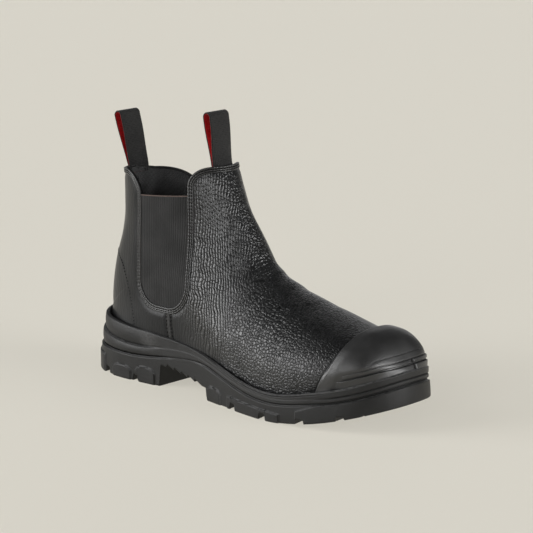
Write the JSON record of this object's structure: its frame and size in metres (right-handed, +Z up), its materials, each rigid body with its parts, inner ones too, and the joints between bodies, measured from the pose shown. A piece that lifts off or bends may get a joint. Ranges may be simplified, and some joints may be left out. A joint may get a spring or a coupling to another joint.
{
  "type": "pull-on safety boot",
  "caption": "Ankle-high pull-on safety boot with elastic side panels, webbing pull loops, a ribbed moulded toe cap and a lugged sole with a stepped heel.",
  "frame": {"origin": "on the floor under the middle of the boot's bounding box", "axes": "+X from heel to toe, +Y to the wearer's left (the inner side of this right boot), +Z up"},
  "size_m": [0.312, 0.1116, 0.2176],
  "materials": {
    "outsole_rubber": "matte moulded black rubber",
    "midsole_rubber": "satin moulded black",
    "cap_rubber": "satin moulded black",
    "leather": "pebbled full grain, soft sheen",
    "elastic": "ribbed elastic webbing",
    "webbing": "charcoal woven tape, red inside",
    "insole_fabric": "dark mesh cloth"
  },
  "bodies": {
    "root": {"outsole": "outsole_rubber", "midsole": "midsole_rubber", "toe_cap": "cap_rubber", "upper": "leather", "gore_outer": "elastic", "gore_inner": "elastic", "pull_loop_front": "webbing", "pull_loop_back": "webbing", "insole": "insole_fabric"}
  },
  "joints": []
}
